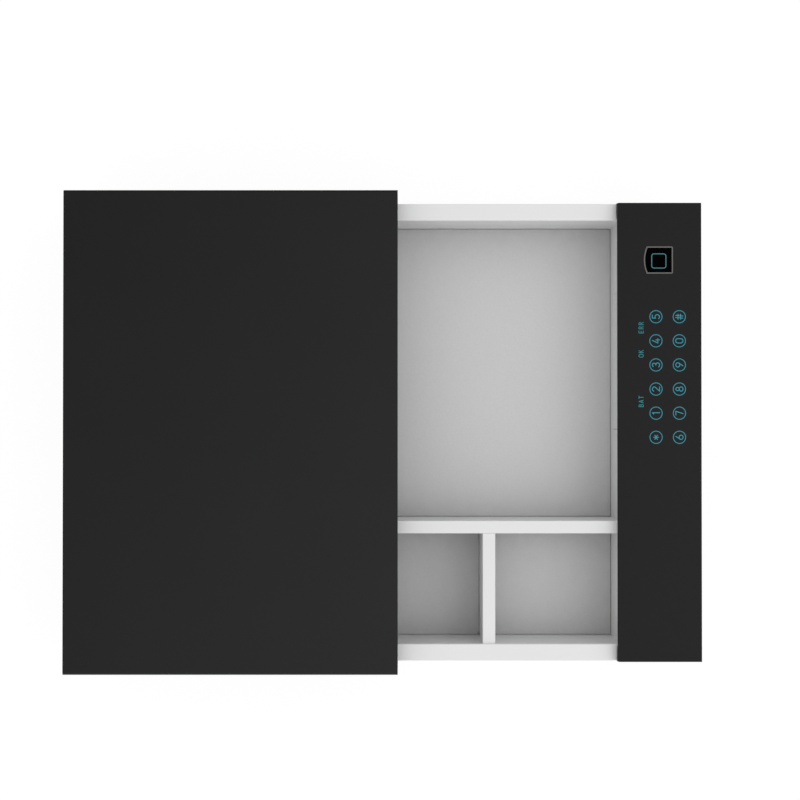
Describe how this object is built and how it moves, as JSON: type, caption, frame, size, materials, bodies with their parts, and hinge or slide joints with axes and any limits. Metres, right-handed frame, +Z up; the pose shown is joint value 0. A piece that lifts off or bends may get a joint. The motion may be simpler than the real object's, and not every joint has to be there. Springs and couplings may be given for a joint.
{
  "type": "drawer safe",
  "caption": "Low motorised drawer safe, drawer open: black housing, white lined tray with compartments, and a black head with touch keypad and fingerprint reader.",
  "frame": {"origin": "middle of the housing's underside, which is the middle of the base anchor holes", "axes": "+X to the user's right, front faces -Y, +Z up"},
  "size_m": [0.4, 0.528, 0.13],
  "materials": {
    "black_steel": "fine black powder coat",
    "panel_black": "satin black touch panel",
    "white_steel": "smooth white powder coat",
    "grey_mat": "light grey foam mat",
    "zinc_steel": "zinc plated sheet",
    "ball_steel": "polished",
    "screw_steel": "dark zinc plating",
    "bolt_steel": "ground steel",
    "gear_brass": "machined",
    "gear_nylon": "natural nylon",
    "motor_steel": "drawn steel can",
    "bezel_metal": "satin anodised",
    "sensor_black": "black sensor window",
    "board_green": "solder mask",
    "black_plastic": "moulded plastic",
    "cell_wrap": "plain battery wrap",
    "contact_nickel": "nickel plated"
  },
  "bodies": {
    "housing": {"housing_cover": "black_steel", "base_plate": "black_steel", "rear_panel": "black_steel", "rear_panel_screws": "screw_steel", "mouth_frame": "black_steel", "slide_bracket_left": "zinc_steel", "slide_bracket_right": "zinc_steel", "slide_outer_left": "zinc_steel", "slide_outer_right": "zinc_steel", "slide_outer_screws": "screw_steel", "strike_left": "zinc_steel", "strike_right": "zinc_steel", "drive_rack": "gear_nylon"},
    "ball_cages": {"ball_cages": "zinc_steel", "slide_balls": "ball_steel"},
    "drawer": {"slide_inner_left": "zinc_steel", "slide_inner_right": "zinc_steel", "slide_inner_screws": "screw_steel", "drawer_shell": "white_steel", "drawer_front_wall": "white_steel", "drawer_rear_wall": "white_steel", "compartment_floor": "white_steel", "long_divider": "white_steel", "cross_divider": "white_steel", "main_mat": "grey_mat", "front_small_mat": "grey_mat", "rear_small_mat": "grey_mat", "head_shell": "black_steel", "head_rear_plate": "black_steel", "control_panel": "panel_black", "touch_board": "board_green", "fingerprint_bezel": "bezel_metal", "fingerprint_sensor": "sensor_black", "main_board": "board_green", "board_standoffs": "gear_brass", "buzzer": "black_plastic", "battery_holder": "black_plastic", "batteries": "cell_wrap", "battery_contacts": "contact_nickel", "service_recess": "black_plastic", "key_lock_body": "bolt_steel", "key_lock_nut": "gear_brass", "usb_port": "contact_nickel", "lock_case_front": "zinc_steel", "lock_case_rear": "zinc_steel", "lock_case_posts": "bolt_steel", "bolt_guides": "gear_brass", "lock_gearmotor": "motor_steel", "drive_gearmotor": "motor_steel", "drive_bracket": "zinc_steel"},
    "pinion": {"drive_pinion": "gear_nylon"},
    "lock_spindle": {"bolt_gear": "gear_brass", "lock_shaft": "bolt_steel", "key_plug": "gear_brass"},
    "bolt_left": {"bolt_bar_left": "zinc_steel", "lock_bolt_left": "bolt_steel"},
    "bolt_right": {"bolt_bar_right": "zinc_steel", "lock_bolt_right": "bolt_steel"},
    "battery_lid": {"battery_cover": "white_steel"},
    "service_lid": {"service_cover": "black_steel"}
  },
  "joints": [
    {"name": "drawer_slide", "type": "slide", "parent": "housing", "child": "drawer", "axis": [0, -1, 0], "range_m": [-0.185, 0]},
    {"name": "cage_slide", "type": "slide", "parent": "housing", "child": "ball_cages", "axis": [0, -1, 0], "range_m": [-0.0925, 0]},
    {"name": "pinion_spin", "type": "hinge", "parent": "drawer", "child": "pinion", "pos_m": [0.064, -0.1121, 0.0265], "axis": [1, 0, 0], "range_deg": [-590, 0]},
    {"name": "lock_spin", "type": "hinge", "parent": "drawer", "child": "lock_spindle", "pos_m": [0, -0.298, 0.032], "axis": [0, 1, 0], "range_deg": [0, 89.6]},
    {"name": "right_bolt_slide", "type": "slide", "parent": "drawer", "child": "bolt_right", "axis": [1, 0, 0], "range_m": [0, 0.0125]},
    {"name": "left_bolt_slide", "type": "slide", "parent": "drawer", "child": "bolt_left", "axis": [-1, 0, 0], "range_m": [0, 0.0125]},
    {"name": "battery_cover_pull", "type": "slide", "parent": "drawer", "child": "battery_lid", "axis": [0, 1, 0], "range_m": [0, 0.03]},
    {"name": "service_cover_pull", "type": "slide", "parent": "drawer", "child": "service_lid", "axis": [0, -1, 0], "range_m": [0, 0.03]}
  ],
  "couplings": [
    {"joint": "cage_slide", "follows": "drawer_slide", "ratio": 0.5},
    {"joint": "pinion_spin", "follows": "drawer_slide", "rad_per_m": 55.556},
    {"joint": "lock_spin", "follows": "right_bolt_slide", "rad_per_m": 125},
    {"joint": "left_bolt_slide", "follows": "right_bolt_slide", "ratio": 1}
  ]
}
